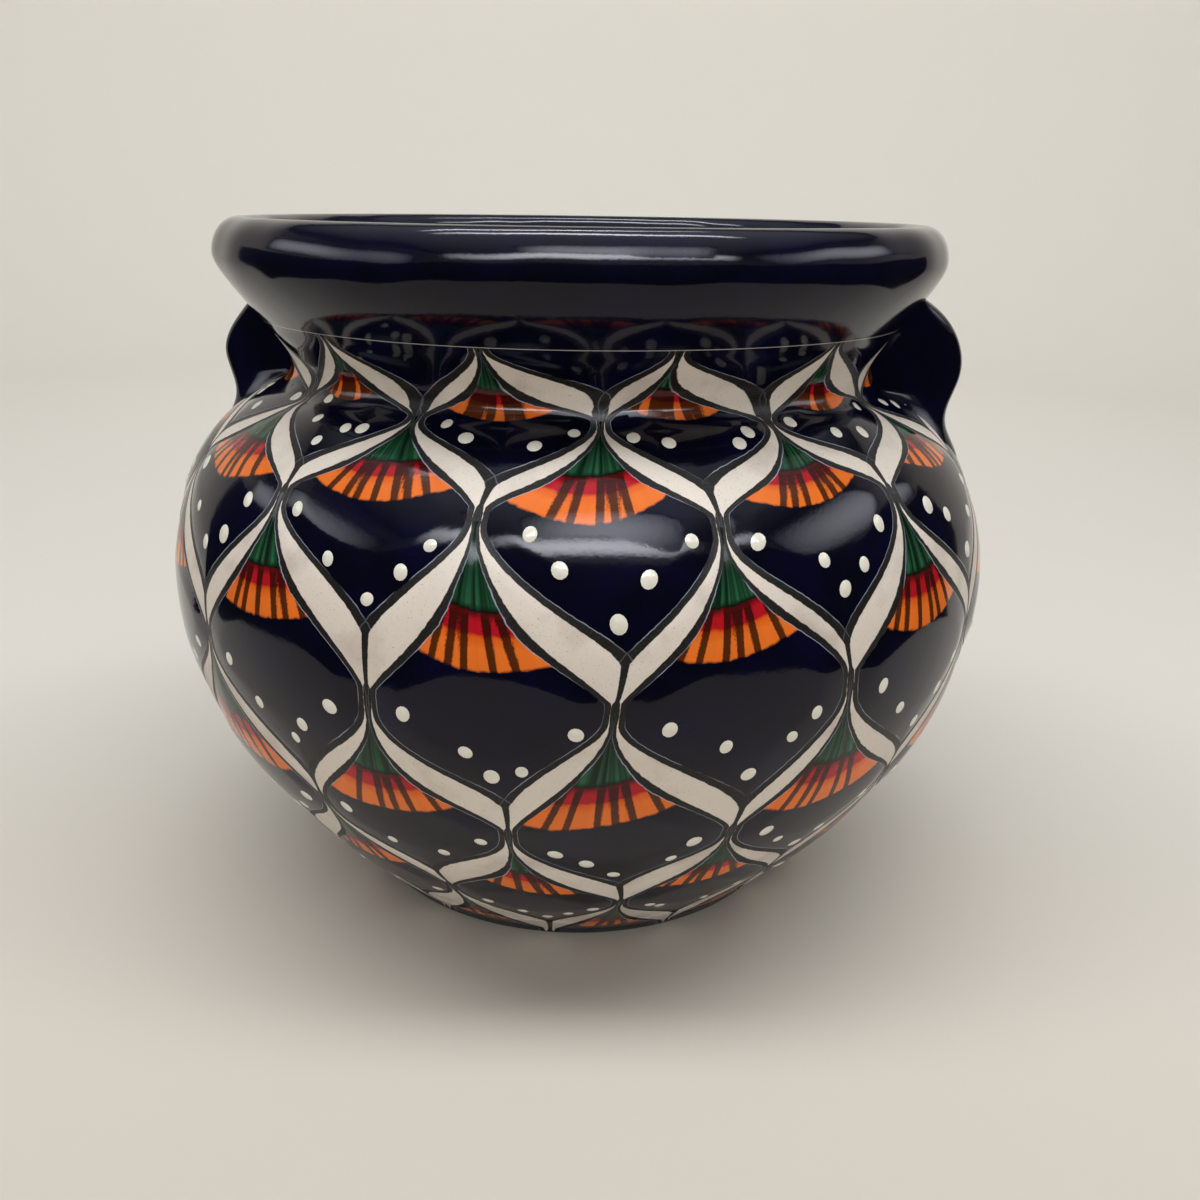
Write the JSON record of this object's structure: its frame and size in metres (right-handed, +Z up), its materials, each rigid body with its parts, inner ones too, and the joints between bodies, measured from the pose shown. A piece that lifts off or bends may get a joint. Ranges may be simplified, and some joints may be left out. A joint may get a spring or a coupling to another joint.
{
  "type": "glazed earthenware olla",
  "caption": "Squat round-bellied olla in dark blue glazed earthenware with a painted scale pattern, a flared collar, a rolled rim and solid ear lugs; holds a plant or dry goods.",
  "frame": {"origin": "middle of the face that the pot stands on", "axes": "+Z up along the pot's axis, the ears on +X and -X"},
  "size_m": [0.305, 0.305, 0.249],
  "materials": {
    "glaze": "glossy dark cobalt glaze with hand-painted scales",
    "terracotta": "bare fired red clay"
  },
  "bodies": {
    "root": {"base_disc": "terracotta", "lower_bowl": "glaze", "upper_shoulder": "glaze", "collar": "glaze", "rolled_rim": "glaze", "ear_right": "glaze", "ear_left": "glaze"}
  },
  "joints": []
}
